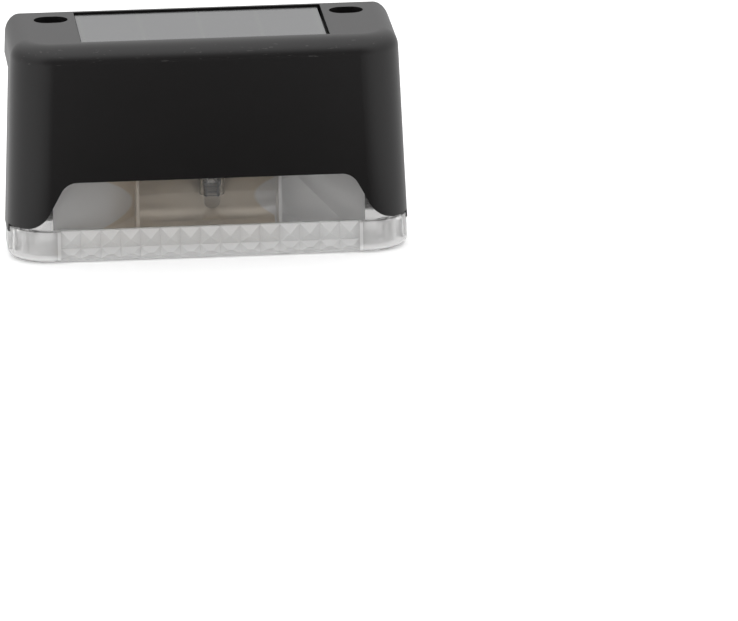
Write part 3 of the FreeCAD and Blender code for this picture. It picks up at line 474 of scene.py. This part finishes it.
def panel_face():
    material, tree, shader = new_material("panel_resin_face")
    spot = object_place(tree)
    box_low, box_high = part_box("solar_cells")
    pitch = (box_high[0] - box_low[0] + STRIP_GAP) / STRIPS
    cloud = noise(tree, 60, 2)
    # The strips are drawn far lighter than the silicon below: their tone plus a painted sheen.
    strip_and_sheen = blend_colours(tree, cloud, (0.082, 0.083, 0.086), (0.094, 0.095, 0.098))
    from_left = calculate(tree, "SUBTRACT", spot["X"], box_low[0] - STRIP_GAP)
    gap = every(tree, from_left, pitch, STRIP_GAP)
    fingers = every(tree, spot["Y"], FINGER_PITCH, FINGER_WIDTH)
    lined = choose(tree, fingers, strip_and_sheen, (0.104, 0.104, 0.108))
    tree.links.new(choose(tree, gap, lined, (0.100, 0.104, 0.101)), shader.inputs["Base Color"])
    tree.links.new(blend_values(tree, cloud, 0.12, 0.18), shader.inputs["Roughness"])
    shader.inputs["Specular IOR Level"].default_value = 0.9
    return material


# %% [markdown]
# Inside are a circuit board, a cell with its sleeve and tabs, a small switch and
# the wires. Many of these are one plastic or one metal each. What tells them
# apart is the size of their mottle, how dull they are and how rough they feel,
# so one helper makes them all and a table holds the numbers: colour from and to,
# size of the mottle, roughness, depth of the grain in thousandths of a
# millimetre, and whether it is metal.


# %% Inner plastics and metals
def mottled(name, dark, light, scale, rough, grain=4, metal=False):
    material, tree, shader = new_material(name)
    cloud = noise(tree, scale, 3)
    fine = noise(tree, scale * 6, 2)
    tree.links.new(blend_colours(tree, cloud, dark, light), shader.inputs["Base Color"])
    tree.links.new(blend_values(tree, cloud, rough * 0.75, rough * 1.25),
                   shader.inputs["Roughness"])
    shader.inputs["Metallic"].default_value = 1 if metal else 0
    add_bump(tree, shader, fine, grain * 1e-6, 0.4)
    return material


PLAIN = {
    "screw_steel": ((0.50, 0.50, 0.49), (0.60, 0.60, 0.59), 900, 0.28, 2, True),
    "tinned_steel": ((0.62, 0.61, 0.58), (0.74, 0.73, 0.70), 900, 0.30, 2, True),
    "nickel": ((0.58, 0.56, 0.52), (0.68, 0.66, 0.62), 700, 0.26, 2, True),
    "chip_black": ((0.015, 0.015, 0.016), (0.03, 0.03, 0.031), 1200, 0.6, 6),
    "coil_black": ((0.02, 0.02, 0.022), (0.04, 0.04, 0.042), 900, 0.65, 8),
    "can_black": ((0.01, 0.01, 0.03), (0.02, 0.02, 0.05), 500, 0.32, 2),
    "tape_white": ((0.70, 0.70, 0.68), (0.80, 0.80, 0.78), 1500, 0.85, 20),
    "foam_black": ((0.012, 0.012, 0.012), (0.045, 0.045, 0.045), 2200, 0.95, 60),
    "switch_grey": ((0.24, 0.24, 0.24), (0.30, 0.30, 0.30), 900, 0.5, 4),
    "switch_black": ((0.015, 0.015, 0.015), (0.03, 0.03, 0.03), 900, 0.45, 6),
    "wire_red": ((0.45, 0.02, 0.015), (0.55, 0.03, 0.02), 700, 0.4, 4),
    "wire_black": ((0.012, 0.012, 0.012), (0.025, 0.025, 0.025), 700, 0.4, 4),
    "wire_yellow": ((0.60, 0.42, 0.03), (0.70, 0.50, 0.05), 700, 0.4, 4),
    "wire_blue": ((0.02, 0.08, 0.40), (0.03, 0.10, 0.50), 700, 0.4, 4),
}

FINISHES = {slot_name: mottled(slot_name, *row) for slot_name, row in PLAIN.items()}
print("plain finishes:", len(FINISHES))

# %% [markdown]
# Two inner pieces have a pattern of their own. A circuit board is lacquered
# green over copper, and its tracks show through as paler lines a little raised.
# The sleeve of the cell is printed film, kept plain here with two pale rings.


# %% Board and cell sleeve
TRACK_PITCH, TRACK_WIDTH, TRACK_WANDER = 0.0025, 0.0009, 0.004
RING_FROM, RING_TO = 0.0165, 0.0180


def green_board():
    """Green lacquer over copper: the tracks show as paler lines, one way across."""
    material, tree, shader = new_material("green_lacquer")
    spot = object_place(tree)
    weave = noise(tree, 2500, 2)
    ground = blend_colours(tree, weave, (0.012, 0.075, 0.030), (0.018, 0.095, 0.040))
    wander = calculate(tree, "MULTIPLY_ADD", noise(tree, 60, 1), TRACK_WANDER, spot["Y"])
    tracks = every(tree, wander, TRACK_PITCH, TRACK_WIDTH)
    tree.links.new(choose(tree, tracks, ground, (0.040, 0.170, 0.070)), shader.inputs["Base Color"])
    tree.links.new(blend_values(tree, weave, 0.30, 0.42), shader.inputs["Roughness"])
    add_bump(tree, shader, tracks, 0.00003, 0.4)
    return material


def battery_sleeve():
    """A green shrink sleeve with one plain pale ring near each end."""
    material, tree, shader = new_material("shrink_sleeve")
    spot = object_place(tree)
    cloud = noise(tree, 300, 3)
    green = blend_colours(tree, cloud, (0.05, 0.22, 0.09), (0.07, 0.27, 0.11))
    rings = stripe(tree, calculate(tree, "ABSOLUTE", spot["X"]), RING_FROM, RING_TO)
    tree.links.new(choose(tree, rings, green, (0.62, 0.64, 0.60)), shader.inputs["Base Color"])
    tree.links.new(blend_values(tree, cloud, 0.25, 0.38), shader.inputs["Roughness"])
    add_bump(tree, shader, noise(tree, 900, 2), 0.00001, 0.4)
    return material


FINISHES["board_green"] = green_board()
FINISHES["battery_sleeve"] = battery_sleeve()
print("patterned:", FINISHES["board_green"].name, FINISHES["battery_sleeve"].name)

# %% [markdown]
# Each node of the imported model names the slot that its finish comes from, so one
# loop dresses them all. The collar shares its slot with the lens but is a small
# clear ring with nothing milky about it, and so it gets a finish of its own.

# %% Put the finishes on
FINISHES["black_shell"] = black_shell
FINISHES["clear_lens"] = clear_moulding()
FINISHES["silver_mirror"] = silver_coating()
FINISHES["silicon"] = silicon_strips()
FINISHES["panel_resin"] = panel_face()
FINISHES["clear_epoxy"] = clear_resin("clear_led_epoxy", (0.98, 0.98, 0.98), 0.01, 0.03)
for piece in frame["record"]["subparts"]:
    mesh = nodes[piece["node"]].data
    mesh.materials.clear()
    mesh.materials.append(FINISHES[piece["material_slot"]])
collar_mesh = nodes["led_collar"].data
collar_mesh.materials.clear()
collar_mesh.materials.append(clear_resin("clear_collar", (0.97, 0.97, 0.96), 0.02, 0.05))
print("finishes:", len(FINISHES) + 1)

# %% [markdown]
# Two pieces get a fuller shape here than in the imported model. Both are made as
# on a bench: a plain block or rod of the right size, then others taken from it
# or added to it. Boolean modifiers do that, and applying each one at once keeps
# the piece an ordinary mesh. Places are given in millimetres.

# %% Bench tools
MM = 0.001


def pick(piece):
    """Make a piece the only one selected."""
    bpy.ops.object.select_all(action="DESELECT")
    piece.select_set(True)
    bpy.context.view_layer.objects.active = piece
    return piece


def settle(piece, name):
    """Put a piece's place, turn and scale into its mesh."""
    pick(piece).name = name
    bpy.ops.object.transform_apply(location=True, rotation=True, scale=True)
    return piece


def block(name, lowest, highest):
    lowest, highest = Vector(lowest) * MM, Vector(highest) * MM
    bpy.ops.object.select_all(action="DESELECT")
    bpy.ops.mesh.primitive_cube_add(size=1, location=(lowest + highest) / 2)
    bpy.context.object.scale = highest - lowest
    return settle(bpy.context.object, name)


def rod(name, axis, middle, half_sizes, sides=64):
    """A round or oval rod along an axis; half_sizes are its three half extents."""
    turn = {"x": (0, math.pi / 2, 0), "y": (math.pi / 2, 0, 0), "z": (0, 0, 0)}[axis]
    bpy.ops.object.select_all(action="DESELECT")
    bpy.ops.mesh.primitive_cylinder_add(vertices=sides, radius=1, depth=2, rotation=turn)
    piece = settle(bpy.context.object, name)
    piece.scale = Vector(half_sizes) * MM
    piece.location = Vector(middle) * MM
    return settle(piece, name)


def combine(piece, tool, operation):
    """Take a tool from a piece, add it, or keep what both share, and drop the tool."""
    change = pick(piece).modifiers.new(operation.lower(), "BOOLEAN")
    change.operation, change.object, change.solver = operation, tool, "EXACT"
    bpy.ops.object.modifier_apply(modifier=change.name)
    bpy.data.objects.remove(tool)
    return piece


def merged_copy(node, name):
    """A CAD node's mesh as one closed mesh, on a piece of its own."""
    piece = bpy.data.objects.new(name, nodes[node].data.copy())
    bpy.context.scene.collection.objects.link(piece)
    pick(piece)
    bpy.ops.object.mode_set(mode="EDIT")
    bpy.ops.mesh.select_all(action="SELECT")
    bpy.ops.mesh.remove_doubles(threshold=1e-6)
    bpy.ops.object.mode_set(mode="OBJECT")
    return piece


print("bench tools ready, unit in metres:", MM)

# %% [markdown]
# The silver tray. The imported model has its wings, ribs, roof and posts, with a
# round bowl between the ribs. On the real tray the middle is a trough that runs
# across, and it comes forward at its top and bottom until it covers the wings,
# which gives the border the look of an hourglass. So a block is put in front of
# the wings, an oval rod is taken from it for the trough, and an upright bore for
# the LED and its collar. The plain bowl is cut out of the copy to make room.

# %% Silver tray
TROUGH_Y, TROUGH_Z, TROUGH_DEEP, TROUGH_TALL = -24.4, 15.3, 16.6, 11.6
LED_X, LED_Y = 1.4, -10.8
trough = block("trough_block", (-43.5, -18.1, 2.6), (43.5, -5.3, 27.6))
hollow = rod("trough_rod", "x", (0, TROUGH_Y, TROUGH_Z), (50, TROUGH_DEEP, TROUGH_TALL), 128)
combine(trough, hollow, "DIFFERENCE")
combine(trough, rod("led_bore", "z", (LED_X, LED_Y, 18), (3.0, 3.0, 9.5)), "DIFFERENCE")
combine(trough, rod("collar_bore", "z", (LED_X, LED_Y, 23), (4.1, 4.1, 6.0)), "DIFFERENCE")
tray = merged_copy("reflector", "silver_tray")
combine(tray, block("bowl_room", (-21.0, -19.0, 1.5), (21.0, -4.0, 27.0)), "DIFFERENCE")
combine(tray, trough, "UNION")
pick(tray)
bpy.ops.object.shade_smooth_by_angle(angle=math.radians(28))
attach(tray, "light")
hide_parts("reflector")
print("tray faces:", len(tray.data.polygons))

# %% [markdown]
# The cover screws. From behind, four round heads sit in deep bores, each with a
# cross for the driver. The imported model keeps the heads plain. One screw is
# modelled: a rod for the head with its front rim bevelled, a rod for the shank
# with ridges along it, and a cross taken from the head. The other three are
# copies, each with its own mesh.

# %% Cover screws
HEAD_BACK, HEAD_FRONT, TIP = -0.35, -1.8, -9.8
RIDGES, RIDGE_PITCH = 9, 0.8
screw = rod("cover_screw_1", "y", (0, (HEAD_BACK + HEAD_FRONT) / 2, 0),
            (2.45, (HEAD_BACK - HEAD_FRONT) / 2, 2.45))
rim = screw.modifiers.new("rim", "BEVEL")
rim.width, rim.segments, rim.limit_method = 0.6 * MM, 4, "ANGLE"
pick(screw)
bpy.ops.object.modifier_apply(modifier=rim.name)
combine(screw, rod("shank", "y", (0, (TIP + HEAD_FRONT) / 2 + 0.1, 0),
                   (1.05, (HEAD_FRONT - TIP) / 2 - 0.05, 1.05), 32), "UNION")
for i in range(RIDGES):
    place_y = TIP + 0.7 + i * RIDGE_PITCH
    ridge = rod("ridge", "y", (0, place_y, 0), (1.28, 0.16, 1.28), 32)
    combine(screw, ridge, "UNION")
for half_x, half_z in ((1.35, 0.33), (0.33, 1.35)):
    combine(screw, block("cross_arm", (-half_x, -1.15, -half_z), (half_x, 0.2, half_z)),
            "DIFFERENCE")
pick(screw)
bpy.ops.object.shade_smooth_by_angle(angle=math.radians(30))
screws = [screw]
for number in (2, 3, 4):
    twin = bpy.data.objects.new(f"cover_screw_{number}", screw.data.copy())
    bpy.context.scene.collection.objects.link(twin)
    screws.append(twin)
SCREW_PLACES = ((-49.1, 32.5), (49.1, 32.5), (-49.1, 51.0), (49.1, 51.0))
for piece, (x, z) in zip(screws, SCREW_PLACES):
    piece.location = Vector((x, 0, z)) * MM
    settle(piece, piece.name)
    piece.data.materials.clear()
    piece.data.materials.append(FINISHES["screw_steel"])
    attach(piece, "light")
    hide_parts("cover_screws")
print("screw faces:", len(screw.data.polygons))

# %% [markdown]
# The Standard view shows a colour about as it is written.

# %% Finish
bpy.context.scene.view_settings.view_transform = "Standard"
